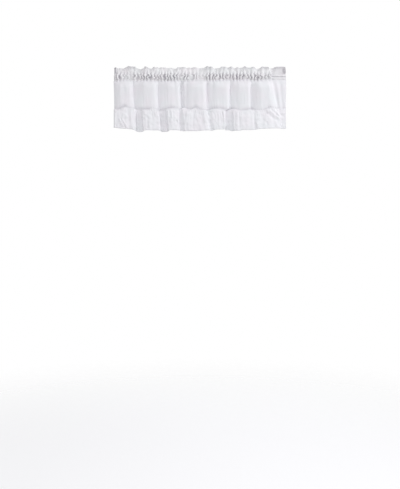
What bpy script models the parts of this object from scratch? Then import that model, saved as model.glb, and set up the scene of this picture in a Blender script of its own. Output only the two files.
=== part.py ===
"""A ruffled window valance, as it hangs from a rod through its pocket.

Three pieces of one white cloth: a heading, whose sleeve is both the rod pocket and the frill that
stands above it; a panel that falls from the pocket in a row of soft folds; and a gathered flounce
sewn along the panel's lower edge. Metres. +X runs along the rod, +Y points at the wall and +Z up.
The origin is the centre of the rod pocket, midway between the side edges.
"""
import math
import random
from collections import namedtuple

import bmesh
import bpy

# Driving dimensions
HALF_WIDTH = 0.436          # hung width 0.872, gathered from 1.372 of cloth
POCKET_HALF_HEIGHT = 0.016  # between the pocket's centre and either line of stitches
POCKET_HALF_DEPTH = 0.0125  # outside of the pocket before it puckers
SHOULDER_HEIGHT = 0.011     # where the pocket's round sides turn in towards the stitches
SHOULDER_DEPTH = 0.0108
FRILL_TOP = 0.054           # folded edge of the frill above the pocket
SEAM_HEIGHT = -0.153        # seam between panel and flounce
CLOTH = 0.0013
SEAM_GAP = 0.0006           # between two pieces where they are sewn together
STITCH_HALF_DEPTH = 0.0017  # from the sleeve's middle to the outside of a layer, at the stitches
FRILL_HALF_DEPTH = 0.0028   # the same in the frill

# How far each kind of gather stands out
PUCKER = 0.0052             # puckers of the pocket round the rod
STITCH_WAVE = 0.0024        # waves that the two lines of stitches hold
FRILL_WAVE = 0.0066         # waves of the frill's folded edge
FRILL_SWAY = 0.0040         # the frill's slow lean towards and away from the wall
SWAY_TURNS = 25.0           # radians of that lean to a metre of rod
SWAY_DRIFT = 9.0            # radians to a metre of the drift that makes the lean uneven
CROWN_WAVE = 0.0020         # how far a gather lifts the folded edge
RIPPLE = 0.0055             # small gathers of the flounce at its hem
SEAM_LIFT = 0.002           # the seam rides up where a fold swings out
FLARE = 0.12                # the flounce's folds open this much further at the hem

COLUMNS_PER_GATHER = 3
COLUMNS_PER_RIPPLE = 3.7
GATHER_BREADTH = 1.15       # over 1 flattens the outer side of each gather
SEED = 7

# One row per fold, left to right, measured at its left valley, where the next fold begins.
# gathers: small gathers it takes up in the heading
# pucker:  strength of those gathers
# pocket, seam, hem: x of the valley at the pocket, the seam and the hem
# back:    how far the valley lies behind the rod
# bulge:   how far the fold swings out in front of its valleys
# crest, hem_crest: where across the fold it stands out most, in the panel and at the hem
# hem_z:   height of the hem at the crest
Fold = namedtuple("Fold", "gathers pucker pocket seam hem back bulge crest hem_crest hem_z")
FOLDS = (
    Fold(6, 0.75, -HALF_WIDTH, -HALF_WIDTH, -HALF_WIDTH, 0.016, 0.041, 0.48, 0.50, -0.2600),
    Fold(7, 1.00, -0.337, -0.337, -0.324, 0.018, 0.051, 0.60, 0.36, -0.2710),
    Fold(7, 0.95, -0.213, -0.211, -0.203, 0.020, 0.052, 0.60, 0.37, -0.2705),
    Fold(7, 0.80, -0.090, -0.090, -0.085, 0.027, 0.055, 0.60, 0.50, -0.2755),
    Fold(7, 1.05, 0.033, 0.033, 0.054, 0.020, 0.052, 0.58, 0.36, -0.2680),
    Fold(6, 1.00, 0.158, 0.156, 0.158, 0.026, 0.050, 0.60, 0.34, -0.2730),
    Fold(6, 0.95, 0.262, 0.263, 0.283, 0.009, 0.042, 0.70, 0.66, -0.2650),
    Fold(2, 0.20, 0.377, 0.405, 0.418, -0.016, 0.005, 0.50, 0.50, -0.2640),
    Fold(0, 0.00, HALF_WIDTH, HALF_WIDTH, HALF_WIDTH, 0.022, 0.000, 0.50, 0.50, -0.2640),
)

# The frill's uneven top: how far its folded edge stands above or below FRILL_TOP along the rod.
Crown = namedtuple("Crown", "x rise")
CROWNS = (
    Crown(-0.436, 0.001), Crown(-0.395, -0.002), Crown(-0.355, 0.005), Crown(-0.305, -0.002),
    Crown(-0.278, 0.004), Crown(-0.240, -0.001), Crown(-0.100, 0.000), Crown(0.042, 0.005),
    Crown(0.100, -0.001), Crown(0.164, 0.005), Crown(0.200, 0.000), Crown(0.230, 0.005),
    Crown(0.306, -0.006), Crown(0.326, 0.004), Crown(0.362, -0.007), Crown(0.392, 0.004),
    Crown(0.436, -0.003),
)

# The sleeve's cross-section, from the lower line of stitches up to the frill's folded edge.
# height: above the pocket's centre; depth: from the sleeve's middle to the outside of the cloth
# pucker, wave, sway: shares of the gathers that push the cloth out, sideways to it and slowly
Station = namedtuple("Station", "height depth pucker wave sway")
STATIONS = (
    Station(-POCKET_HALF_HEIGHT, 0.0, 0.0, 1.0, 0.0),
    Station(-SHOULDER_HEIGHT, SHOULDER_DEPTH, 0.8, 0.0, 0.0),
    Station(0.0, POCKET_HALF_DEPTH, 1.0, 0.0, 0.0),
    Station(SHOULDER_HEIGHT, SHOULDER_DEPTH, 0.8, 0.0, 0.0),
    Station(POCKET_HALF_HEIGHT, STITCH_HALF_DEPTH, 0.0, 1.0, 0.0),
    Station(0.033, FRILL_HALF_DEPTH, 0.0, 1.7, 0.4),
    Station(FRILL_TOP, FRILL_HALF_DEPTH, 0.0, FRILL_WAVE / STITCH_WAVE, 1.0),
)

# Levels of the rows of points: 0 at the pocket, 1 at the seam and 2 at the hem
PANEL_LEVELS = (0.0, 0.1, 0.24, 0.45, 0.72, 1.0)
FLOUNCE_LEVELS = (1.0, 1.12, 1.35, 1.6, 1.82, 2.0)
FULLY_OPEN_LEVEL = 0.55     # below it the folds keep their depth
OPENING_HASTE = 1.6         # 1 opens the folds evenly, and more opens them nearer the pocket
VALLEY_SPREAD = 0.30        # 0 gives the folds half-round fronts that meet in a crease, 1 open waves
VALLEY_ROUND = 0.12         # how round the bottoms of the valleys are
CALM_LEVEL = 0.30           # below it no small gathers are left in the panel


def lerp(low, high, share):
    return low + (high - low) * share


def ease(share):
    """A smooth step from 0 to 1."""
    share = max(0.0, min(1.0, share))
    return share * share * (3.0 - 2.0 * share)


# Gathers: where each one starts across its fold, how wide it is and how strongly it puckers
Gather = namedtuple("Gather", "start width strength")


def gather_list():
    """The uneven small gathers of the heading, left to right."""
    rng = random.Random(SEED)
    gathers = []
    for fold in FOLDS:
        widths = [rng.uniform(0.8, 1.2) for _ in range(fold.gathers)]
        start = 0.0
        for width in widths:
            share = width / sum(widths)
            strength = fold.pucker * rng.uniform(0.65, 1.05)
            gathers.append(Gather(start, share, strength))
            start += share
    return gathers


GATHERS = gather_list()
COLUMN_COUNT = COLUMNS_PER_GATHER * len(GATHERS)


def fold_at(column):
    """The fold that a column of cloth lies in, and how far across the fold it is."""
    first = 0
    for index, fold in enumerate(FOLDS[:-1]):
        count = fold.gathers * COLUMNS_PER_GATHER
        if column < first + count:
            break
        first += count
    else:
        index, count, first = len(FOLDS) - 2, count, first - count
    return index, (column - first) / count


def gather_at(column):
    """The gather that a column lies in, and how far across the gather it is."""
    index = min(int(column // COLUMNS_PER_GATHER), len(GATHERS) - 1)
    return GATHERS[index], column / COLUMNS_PER_GATHER - index


def gather_wave(column):
    """0 in the crease between two gathers, and about 1 where a gather stands out."""
    gather, across = gather_at(column)
    return gather.strength * min(1.0, GATHER_BREADTH * math.sin(math.pi * across))


def gathered_x(column):
    """x of a column in the heading, where the small gathers spread the cloth."""
    index, across = fold_at(column)
    gather, within = gather_at(column)
    share = min(1.0, gather.start + gather.width * within) if across < 1.0 else 1.0
    return lerp(FOLDS[index].pocket, FOLDS[index + 1].pocket, share)


def crown_rise(x):
    """How far the frill's folded edge stands above FRILL_TOP at x."""
    for left, right in zip(CROWNS, CROWNS[1:]):
        if x <= right.x:
            break
    return lerp(left.rise, right.rise, ease((x - left.x) / (right.x - left.x)))


def swing(turn):
    """How far out a fold stands: 0 in the round valleys at turn 0 and pi, and 1 at its front."""
    low, high = VALLEY_ROUND, math.hypot(1.0, VALLEY_ROUND)
    return (math.hypot(math.sin(turn), VALLEY_ROUND) - low) / (high - low)


def valley_x(fold, level):
    """x of a fold's left valley at a level."""
    if level < 1.0:
        return lerp(fold.pocket, fold.seam, level)
    return lerp(fold.seam, fold.hem, level - 1.0)


def drape_point(column, level):
    """A point of the panel, level 0 to 1, or of the flounce, level 1 to 2."""
    index, across = fold_at(column)
    fold, following = FOLDS[index], FOLDS[index + 1]
    turn = math.pi * across
    opening = 1.0 - max(0.0, 1.0 - level / FULLY_OPEN_LEVEL) ** OPENING_HASTE
    below_seam = max(0.0, level - 1.0)

    crest = lerp(fold.crest, fold.hem_crest, ease(3.0 * below_seam))
    rounded = lerp(0.5 - 0.5 * math.cos(turn), across, VALLEY_SPREAD)
    rounded += (crest - 0.5) * math.sin(turn) ** 2
    share_at_pocket = gathered_x(column) - fold.pocket
    share_at_pocket /= following.pocket - fold.pocket
    share = lerp(share_at_pocket, rounded, opening)
    x = lerp(valley_x(fold, level), valley_x(following, level), share)

    out = swing(turn)
    y = lerp(fold.back, following.back, share) - fold.bulge * out
    y *= opening * (1.0 + FLARE * below_seam)
    y -= STITCH_WAVE * (gather_wave(column) - 0.5) * (1.0 - ease(level / CALM_LEVEL))
    y -= RIPPLE * out * ease(below_seam) * math.sin(math.tau * column / COLUMNS_PER_RIPPLE)

    seam = SEAM_HEIGHT + SEAM_LIFT * out
    if level <= 1.0:
        return x, y, lerp(-POCKET_HALF_HEIGHT, seam, level)
    previous = FOLDS[max(index - 1, 0)]
    left_z = 0.5 * (previous.hem_z + fold.hem_z)
    right_z = 0.5 * (fold.hem_z + following.hem_z)
    valley_z = lerp(left_z, right_z, share)
    hem = lerp(valley_z, fold.hem_z, out)
    return x, y, lerp(seam, hem, below_seam)


def sleeve_point(column, station, side):
    """A point on the heading's outside; side is -1 on the room's side and 1 on the wall's."""
    x = gathered_x(column)
    wave = gather_wave(column)
    y = side * (station.depth + station.pucker * PUCKER * wave)
    y -= station.wave * STITCH_WAVE * (wave - 0.5)
    y += station.sway * FRILL_SWAY * math.sin(SWAY_TURNS * x + 2.0 * math.sin(SWAY_DRIFT * x))
    z = station.height
    if station.height == FRILL_TOP:
        z += crown_rise(x) + CROWN_WAVE * (wave - 0.5)
    return x, y, z


def grid(name, place, row_count):
    """A mesh of COLUMN_COUNT columns and row_count rows, each point moved to place(column, row)."""
    mesh = bpy.data.meshes.new(name)
    shape = bmesh.new()
    bmesh.ops.create_grid(shape, x_segments=COLUMN_COUNT, y_segments=row_count - 1, size=1.0)
    for point in shape.verts:
        column = round((point.co.x + 1.0) / 2.0 * COLUMN_COUNT)
        row = round((point.co.y + 1.0) / 2.0 * (row_count - 1))
        point.co = place(column, row)
    return mesh, shape


def cloth_object(name, mesh, shape, material, collection, offset):
    """The object for one piece of cloth, thickened by a Solidify modifier."""
    shape.to_mesh(mesh)
    shape.free()
    mesh.shade_smooth()
    mesh.materials.append(material)
    piece = bpy.data.objects.new(name, mesh)
    collection.objects.link(piece)
    thicken = piece.modifiers.new("cloth", "SOLIDIFY")
    thicken.thickness = CLOTH
    thicken.offset = offset
    thicken.use_even_offset = True
    return piece


def build_heading(material, collection):
    """Frill and rod pocket: one sleeve, open at both ends, sewn through above the pocket."""
    front = [(station, -1) for station in STATIONS]
    back = [(station, 1) for station in reversed(STATIONS)]
    loop = front + back

    def place(column, row):
        station, side = loop[row]
        return sleeve_point(column, station, side)

    mesh, shape = grid("heading", place, len(loop))
    bmesh.ops.remove_doubles(shape, verts=shape.verts, dist=0.00001)
    bmesh.ops.recalc_face_normals(shape, faces=shape.faces)
    return cloth_object("heading", mesh, shape, material, collection, -1.0)


def build_panel(material, collection):
    """The panel, from just under the pocket to just above the flounce's seam."""
    def place(column, row):
        level = PANEL_LEVELS[row]
        x, y, z = drape_point(column, level)
        if level == 0.0:
            z -= SEAM_GAP
        if level == 1.0:
            z += SEAM_GAP / 2.0
        return x, y, z

    mesh, shape = grid("panel", place, len(PANEL_LEVELS))
    return cloth_object("panel", mesh, shape, material, collection, 0.0)


def build_flounce(material, collection):
    """The gathered flounce, from just under its seam to its uneven hem."""
    def place(column, row):
        level = FLOUNCE_LEVELS[row]
        x, y, z = drape_point(column, level)
        if level == 1.0:
            z -= SEAM_GAP / 2.0
        return x, y, z

    mesh, shape = grid("flounce", place, len(FLOUNCE_LEVELS))
    return cloth_object("flounce", mesh, shape, material, collection, 0.0)


def white_cloth(name, colour, roughness):
    """A matt cloth of one colour."""
    material = bpy.data.materials.new(name)
    material.use_nodes = True
    shader = material.node_tree.nodes["Principled BSDF"]
    shader.inputs["Base Color"].default_value = (*colour, 1.0)
    shader.inputs["Roughness"].default_value = roughness
    shader.inputs["Metallic"].default_value = 0.0
    return material


def main():
    for old in list(bpy.data.objects):
        bpy.data.objects.remove(old, do_unlink=True)
    collection = bpy.data.collections.new("window_valance")
    bpy.context.scene.collection.children.link(collection)
    build_heading(white_cloth("heading_cloth", (0.80, 0.80, 0.80), 0.85), collection)
    build_panel(white_cloth("panel_cloth", (0.80, 0.80, 0.82), 0.85), collection)
    build_flounce(white_cloth("flounce_cloth", (0.82, 0.82, 0.84), 0.85), collection)


main()
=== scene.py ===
"""Looks of the window valance: its cloth, gathers, folds, hems and stitches, in a plain pale studio.

Everything is in metres in the part's own frame: +X along the rod, +Y towards the wall, +Z up, with
the origin at the centre of the rod pocket. Each piece of cloth is a grid. A column of the grid is a
thread that runs from the top of the valance to its hem, and a row runs across from side to side.
Columns are numbered in gathers of the heading, from the left edge. Levels say how far down a row is:
0 at the pocket's lower stitches, 1 at the seam, 2 at the hem.
"""
import math
import random
from collections import namedtuple

import bpy
import numpy as np
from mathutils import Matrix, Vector


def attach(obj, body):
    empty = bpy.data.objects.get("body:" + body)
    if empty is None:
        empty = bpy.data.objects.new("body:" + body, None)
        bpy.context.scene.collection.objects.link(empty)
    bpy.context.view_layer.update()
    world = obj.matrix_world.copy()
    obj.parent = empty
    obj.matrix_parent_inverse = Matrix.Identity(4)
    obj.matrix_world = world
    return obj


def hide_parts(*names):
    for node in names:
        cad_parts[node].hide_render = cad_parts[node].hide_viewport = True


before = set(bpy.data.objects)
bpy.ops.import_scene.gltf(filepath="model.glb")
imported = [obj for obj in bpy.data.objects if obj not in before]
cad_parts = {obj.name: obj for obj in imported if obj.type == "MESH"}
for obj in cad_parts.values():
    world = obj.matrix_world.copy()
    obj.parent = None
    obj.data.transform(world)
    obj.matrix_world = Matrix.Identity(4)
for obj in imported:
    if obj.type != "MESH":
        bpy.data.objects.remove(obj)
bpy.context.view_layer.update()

# ---- Sizes ----
HALF_WIDTH = 0.436
POCKET_HALF_HEIGHT = 0.016
FRILL_TOP = 0.054
CLOTH_THICKNESS = 0.0005
HEM_TURN = 0.009  # width of the turned hems
HEM_GAP = 0.0010  # between a hem's two layers
MILLIMETRES = 1000.0  # to a metre
STRAIGHT_EDGE = 0.020  # width over which the cloth grows straight towards its side edges
NO_LENGTH = 1e-9  # the least that anything is divided by

# Grid steps and chance
HEADING_COLUMNS = 16  # to a gather
PANEL_COLUMNS = 20  # to a gather, in the flounce too
SEED = 7

# The rod pocket from its lower to its upper stitches: height above the rod, y of its front and
# back layers in the creases, and the share of the gathers' depth and of the sewn wave there.
PocketRow = namedtuple("PocketRow", "height front back pucker sewn")
POCKET_ROWS = (
    (-.016, -.013, -.0092, 0, .35), (-.014, -.012, -.0094, 0, .45), (-.0122, -.0098, -.009, .1, .6),
    (-.0104, -.01, .002, .38, .35), (-.008, -.0104, .009, .68, .12), (-.004, -.01, .0112, .9, 0),
    (.005, -.0088, .012, 1, 0), (.01, -.0086, .0108, .96, .05), (.014, -.0066, .007, .75, .3),
    (.0162, -.003, .0025, .45, .75), (.017, -.001, .001, .2, 1),
)
POCKET_STEPS = 17
LOWER_STITCHES = 2  # grid rows up from the pocket's lowest
FRILL_STEPS = 12

# How tightly the heading is gathered: (x, share)
TIGHTNESS = (
    (-.436, 1.05), (-.396, 1.05), (-.38, .45), (-.345, .4), (-.328, 1.05), (-.255, 1.1),
    (-.235, .75), (-.217, .75), (-.205, 1.05), (-.128, 1.1), (-.11, .8), (-.022, .8), (-.01, .45),
    (.035, .45), (.045, 1.1), (.125, 1.15), (.142, .75), (.16, 1.05), (.228, 1.1), (.24, .75),
    (.25, 1.1), (.312, 1.1), (.33, .8), (.356, .75), (.372, .08), (.436, .08),
)

# One row per fold, left to right, measured at its left valley.
# gathers: small gathers that it takes up in the heading
# pocket, seam: x of the valley at the pocket, and at the seam in the panel
# top, hem: and in the flounce, just below the seam and at the hem
# back, bulge: how far the valley lies behind the rod, and the fold in front of its valleys
# rise, fall: where across the panel's fold it is fully out, and where it turns back
# step, sharp: where across it, at the hem, its front part begins, and how abruptly
# turn: and where that part ends
# filled: share of its depth that the flounce fills out in the valley
Fold = namedtuple("Fold", "gathers pocket seam top hem back bulge rise fall step sharp turn filled")
FOLDS = (
    Fold(6, *[-HALF_WIDTH] * 4, .014, .034, .46, .76, .03, .06, .88, .50),
    Fold(7, -.337, -.330, -.322, -.321, .018, .040, .70, .82, .27, .05, .95, .05),
    Fold(7, -.211, -.208, -.208, -.194, .020, .041, .66, .83, .35, .08, .90, .05),
    Fold(7, -.097, -.090, -.106, -.096, .025, .042, .60, .82, .10, .10, .86, .50),
    Fold(7, .036, .041, .034, .057, .018, .037, .62, .83, .17, .32, .93, .66),
    Fold(6, .153, .156, .127, .131, .016, .031, .60, .84, .27, .06, .96, .03),
    Fold(6, .257, .263, .268, .275, .006, .029, .45, .72, .08, .10, .35, .85),
    Fold(2, .367, .396, .399, .411, -.003, .002, .45, .60, .45, .50, .60, .50),
    Fold(0, *[HALF_WIDTH] * 4, -.008, .000, .50, .50, .50, .50, .50, .50),
)

# The seam from end to end: (x, height, how deeply it is drawn in there)
SEAM = (
    (-.436, -.152, .3), (-.42, -.16, .6), (-.404, -.155, 1.1), (-.392, -.148, 1.1),
    (-.384, -.144, 1.5), (-.374, -.147, 1), (-.362, -.154, .3), (-.333, -.154, .3), (-.3, -.159, 1),
    (-.26, -.16, 1), (-.244, -.157, .3), (-.228, -.159, .3), (-.21, -.164, .4), (-.19, -.161, 1),
    (-.165, -.156, .9), (-.137, -.153, 1.1), (-.125, -.152, .5), (-.11, -.158, .3),
    (-.095, -.156, .3), (-.08, -.147, .3), (-.058, -.161, .5), (-.04, -.16, .8),
    (-.021, -.149, 1.2), (-.002, -.162, .9), (.018, -.163, .3), (.038, -.163, .4),
    (.061, -.156, .9), (.08, -.156, .9), (.1, -.156, .8), (.128, -.163, 1), (.143, -.162, .8),
    (.158, -.156, .9), (.185, -.158, .3), (.203, -.167, .4), (.238, -.164, 1.1), (.266, -.156, .9),
    (.28, -.165, .3), (.3, -.166, .3), (.323, -.166, .4), (.35, -.15, .9), (.368, -.156, .3),
    (.395, -.156, .3), (.436, -.157, .4),
)


def in_metres(*rows):
    """A table whose numbers are written in millimetres."""
    return np.array(rows) / MILLIMETRES


# The hem from end to end: (x, height)
HEM = in_metres(
    (-436, -255.6), (-400, -261), (-345, -263.5), (-324, -271), (-312, -273.5), (-290, -273.5),
    (-280, -270), (-212, -270.5), (-203, -272.5), (-160, -273.5), (-148, -269), (-95, -270),
    (-80, -273.5), (-20, -274.2), (30, -271.5), (62, -270), (85, -266), (150, -265), (165, -271.5),
    (200, -273), (215, -269), (250, -270), (275, -269), (300, -264), (360, -262.5), (436, -259.7),
)

# How far the pocket's lower stitches ride up: (x, rise)
STITCH_RISES = in_metres(
    (-436, 0), (-421, -2), (-375, 2), (-320, -3), (-268, 1), (-202, -3), (-150, -3), (-116, 0),
    (-80, -2), (-50, -2), (0, 3), (42, -1), (77, 0), (128, 4), (164, 1), (235, 4), (280, -2),
    (336, 4), (382, 2), (436, 1),
)

# Rises and dips of the frill's folded edge, which also nods further where it rises: (x, rise)
CROWNS = in_metres(
    (-436, -1), (-428, 0), (-420, -6), (-388, -6), (-372, 1), (-360, 5), (-348, 1), (-332, 4),
    (-318, -8), (-292, -9), (-278, 2), (-268, 1), (-256, -5), (-248, -6), (-235, 3), (-226, -4),
    (-217, 0), (-208, -4), (-196, -1), (-172, -2), (-162, -6), (-145, -3), (-124, -5), (-104, 1),
    (-84, 0), (-68, -5), (-46, -2), (-22, 0), (-6, -6), (18, -4), (40, 3), (62, 2), (74, -6),
    (96, -5), (112, 1), (132, 0), (142, -4), (158, 4), (166, 3), (179, -6), (191, 3), (206, -6),
    (216, -5), (228, 3), (244, -5), (258, -4), (272, 0), (290, -7), (306, -6), (316, 3), (346, 3),
    (354, -6), (366, -7), (384, 2), (420, 2), (436, -3),
)

# Main creases, as they are seen from the room: x and z of either end, how wide they are and how
# far they stand out. A trough has a height below zero.
FLOUNCE_CREASES = in_metres(
    (-391, -218, -368, -256, 6, 5), (-406, -212, -386, -248, 6, 4.5),
    (-399, -214, -376, -252, 4, -4), (-352, -165, -343, -255, 8, 2),
    (-364, -170, -358, -225, 6, -0.8), (26, -168, 46, -215, 8, 4.5), (121, -168, 129, -246, 8, 3.5),
    (-33, -178, -34, -262, 5.5, -2.4), (-52, -172, -60, -262, 7, 1.8), (18, -172, 32, -262, 7, 2.4),
    (-62, -180, -76, -262, 6, 2.5), (352, -172, 405, -214, 7, 4.6), (376, -168, 411, -208, 6, 3.4),
    (362, -170, 408, -211, 4, -3), (340, -185, 392, -226, 7, -2.6), (387, -226, 391, -268, 8, 3.5),
    (176, -176, 178, -262, 4, -1.4), (188, -176, 189, -262, 6, 0.6),
    (199, -176, 200, -262, 4, -1.6), (342, -170, 343, -182, 7, 4), (290, -166, 291, -178, 7, 3.5),
    (-278, -176, -276, -190, 8, 4.5), (-222, -180, -220, -200, 9, 3.5),
    (-160, -172, -158, -200, 5, 4.5), (-144, -172, -140, -205, 5, 4),
    (-264, -205, -262, -258, 6, -2.5), (-120, -222, -114, -236, 7, -3.5),
    (335, -232, 340, -246, 7, -2.8), (288, -228, 291, -254, 7, 3), (143, -222, 144, -262, 6, -2.2),
)
PANEL_CREASES = in_metres(
    (-88, -16, -89, -60, 6, -5), (-78, -20, -76, -150, 5, 2.6), (-67, -20, -66, -90, 5, -2.4),
    (384, -18, 408, -150, 8, 2), (404, -18, 420, -150, 8, -2),
)
HEADING_CREASES = in_metres(
    (368, 28, 386, 52, 5, -5), (356, 34, 372, 56, 5, 3), (366, 2, 440, 2, 2.8, -4),
)
CREASE_FADE = 0.25  # share of its length in which it fades out past its ends


# ---- Arithmetic ----
def lerp(low, high, share):
    return low + (high - low) * share


def ease(share):
    """A smooth step from 0 to 1."""
    share = np.clip(share, 0.0, 1.0)
    return share * share * (3.0 - 2.0 * share)


def fading(distance, reach, power=2.0):
    """1 at no distance, and hardly anything beyond its reach."""
    return np.exp(-(distance / reach) ** power)


def swell(distance, peak):
    """0 at no distance, 1 at the peak and then slowly less."""
    share = distance / peak
    return share * np.exp(1.0 - share)


def run_of(steps):
    """How far along a line its points are, from the lengths of its steps."""
    return np.concatenate([[0.0], np.cumsum(steps)])


def at_places(places, run, table):
    """The rows of a table at places along their run."""
    return np.stack([np.interp(places, run, column) for column in table.T], axis=-1)


def stretches(*parts):
    """Levels from part to part. Each part has a start, an end and a number of levels."""
    levels = [np.linspace(*part) for part in parts]
    return np.concatenate([levels[0]] + [more[1:] for more in levels[1:]])


def eased_along(table, x):
    """A table's values at x, with a smooth step from each of its places to the next."""
    xs, values = table.T
    index = np.clip(np.searchsorted(xs, x) - 1, 0, len(xs) - 2)
    share = (x - xs[index]) / (xs[index + 1] - xs[index])
    return lerp(values[index], values[index + 1], ease(share))


def smooth_rows(values, steps):
    """A blur along each row, over about that many columns, that keeps the row's two ends."""
    reach = int(3 * steps) + 1
    weights = np.exp(-0.5 * (np.arange(-reach, reach + 1) / steps) ** 2)
    weights /= weights.sum()
    first, last = values[:, :1], values[:, -1:]
    left = 2 * first - values[:, 1:reach + 1][:, ::-1]
    right = 2 * last - values[:, -reach - 1:-1][:, ::-1]
    padded = np.concatenate([left, values, right], axis=1)
    out = np.zeros_like(values)
    for k, weight in enumerate(weights):
        out += weight * padded[:, k:k + values.shape[1]]
    return out


# Smooth noise: how strong it is, the size of its lumps across, its seed, and their size down
# where it changes from row to row. Across is in gathers, and down in metres or levels.
Noise = namedtuple("Noise", "size across seed down", defaults=[1.0])


def uneven(noise, column, down=0.0):
    """Values between about plus and minus the noise's size."""
    a = np.asarray(column, float) / noise.across
    b = np.asarray(down, float) / noise.down
    a, b = np.broadcast_arrays(a - a.min() + 1.0, b - b.min() + 1.0)
    corners = (int(a.max()) + 3, int(b.max()) + 3)
    lattice = np.random.RandomState(noise.seed).uniform(-1, 1, corners)
    i, j = a.astype(int), b.astype(int)
    s, t = ease(a - i), ease(b - j)
    top = lerp(lattice[i, j], lattice[i + 1, j], s)
    low = lerp(lattice[i, j + 1], lattice[i + 1, j + 1], s)
    return noise.size * lerp(top, low, t)


# ---- Gathers ----
WIDTH_CHANCE = (0.8, 1.2)
STRENGTH_CHANCE = (0.65, 1.15)
PINCH = 0.35  # how tightly a gather closes at its crease: 1 is a cusp
LOBE_ROUNDNESS = 1.15  # above 1, its crease is wider
INSIDE = 1e-6  # keeps the last column in the last gather


def gather_edges():
    """Fold number plus the share across it at each edge between two small gathers, left to right.
    The gathers are as uneven as those of the part's solids, from the same draws."""
    rng = random.Random(SEED)
    edges = []
    for number, fold in enumerate(FOLDS):
        widths = [rng.uniform(*WIDTH_CHANCE) for _ in range(fold.gathers)]
        start = 0.0
        for width in widths:
            edges.append(number + start)
            start += width / sum(widths)
            rng.random()  # the solids draw the gather's strength here
    return np.array(edges + [len(FOLDS) - 1.0])


EDGE_SHARES = gather_edges()
GATHER_COUNT = len(EDGE_SHARES) - 1
EDGES = np.interp(EDGE_SHARES, np.arange(len(FOLDS)), [fold.pocket for fold in FOLDS])
WIDTHS = np.diff(EDGES)
TIGHT = np.interp(EDGES[:-1] + 0.5 * WIDTHS, *np.array(TIGHTNESS).T)
STRENGTHS = TIGHT * np.random.RandomState(SEED).uniform(*STRENGTH_CHANCE, GATHER_COUNT)


def column_numbers(to_a_gather):
    return np.linspace(0.0, GATHER_COUNT, GATHER_COUNT * to_a_gather + 1)


def calm_strength(column):
    """The gathers' strength as a smooth run along the rod."""
    return np.interp(column, np.arange(GATHER_COUNT) + 0.5, STRENGTHS)


# How far a gather stands out, and how far it slides sideways to widen over its creases
Lobes = namedtuple("Lobes", "out slide")


def lobes(column):
    """The heading's gathers, as round lobes with narrow creases between them. They stand out 0 to
    about 1, and slide in metres."""
    column = np.clip(column, 0.0, GATHER_COUNT - INSIDE)
    index = column.astype(int)
    turn = math.tau * (column - index)
    strength = STRENGTHS[index]
    out = strength * (0.5 - 0.5 * np.cos(turn)) ** LOBE_ROUNDNESS
    slide = -PINCH * np.minimum(1.0, strength) * WIDTHS[index] * np.sin(turn) / math.tau
    return Lobes(out, slide)


def crease_lift(creases, x, z):
    """How far the main creases lift the cloth towards the room at each point."""
    lift = np.zeros_like(x)
    for start_x, start_z, end_x, end_z, width, height in creases:
        dx, dz = end_x - start_x, end_z - start_z
        along = ((x - start_x) * dx + (z - start_z) * dz) / (dx * dx + dz * dz)
        near = np.clip(along, 0.0, 1.0)
        away = np.hypot(x - start_x - near * dx, z - start_z - near * dz)
        ends = ease(1.0 + along / CREASE_FADE) * ease(1.0 + (1.0 - along) / CREASE_FADE)
        lift += height * fading(away, width) * ends
    return lift


# ---- Big folds ----
PROFILE_STEPS = 400
FULLY_OPEN_LEVEL = 0.30
OPENING_HASTE = 1.6
DEPTH_LEVELS = (0.0, 0.4, 1.0, 1.4, 2.0)
DEPTH_SHARES = (0.88, 0.70, 0.60, 1.00, 1.10)
FIRST_RISE = 0.24  # share of a panel fold's depth that it gains in its first steps
FIRST_STEPS = 0.06  # share of its width that they take
RIPPLE = 0.014  # a shallow trough before its brow, as a share of its depth
RIPPLE_START = 0.42
RIPPLE_END = 0.72
TURN_ROUNDNESS = 0.8  # below 1, a fold turns back later and quicker
HEM_BACK = 0.12  # how far out a fold's back part gets at the hem, as a share of its depth
HEM_FRONT = 0.92  # and its front part at its ends
HEM_BROW = 0.08  # and how much further in its middle
FLOUNCE_VALLEY = 0.50  # share of its depth that a valley keeps in the flounce
CHANGE_HASTE = 8.0  # how soon below the seam the panel's shape gives way to the hem's
DEPTH_WEIGHT = 0.75  # what depth counts when a fold's cloth is shared out


def opening(level):
    """Share of their depth that the big folds have at a level."""
    return 1.0 - max(0.0, 1.0 - level / FULLY_OPEN_LEVEL) ** OPENING_HASTE


def valley_x(fold, level, flounce):
    if flounce:
        return lerp(fold.top, fold.hem, level - 1.0)
    return lerp(fold.pocket, fold.seam, level)


def turn_back(share, start):
    """1 as far as a fold's turn back starts, and then down to 0 at its end."""
    left = np.clip((1.0 - share) / (1.0 - start), 0.0, 1.0)
    return np.sin(0.5 * math.pi * left) ** TURN_ROUNDNESS


def panel_outline(fold, share):
    """How far out a fold of the panel stands, 0 to 1: a slow rise, then a quick turn back."""
    slow = np.sin(0.5 * math.pi * np.clip(share / fold.rise, 0.0, 1.0))
    up = lerp(slow, 1.0 - np.exp(-share / FIRST_STEPS), FIRST_RISE)
    ripple = np.clip((share - RIPPLE_START) / (RIPPLE_END - RIPPLE_START), 0.0, 1.0)
    up = up - RIPPLE * np.sin(math.tau * ripple)
    return up * turn_back(share, fold.fall)


def hem_outline(fold, following, share):
    """The same at the hem: a flat part at the back, a step forward, a full front and a turn back."""
    step = ease((share - fold.step + 0.5 * fold.sharp) / fold.sharp)
    behind = HEM_BACK * np.clip(share / fold.step, 0.0, 1.0)
    brow = np.sin(math.pi * np.clip((share - fold.step) / (1.0 - fold.step), 0.0, 1.0))
    standing = lerp(behind, HEM_FRONT + HEM_BROW * brow, step) * turn_back(share, fold.turn)
    return lerp(lerp(fold.filled, following.filled, share), 1.0, standing)


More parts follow.
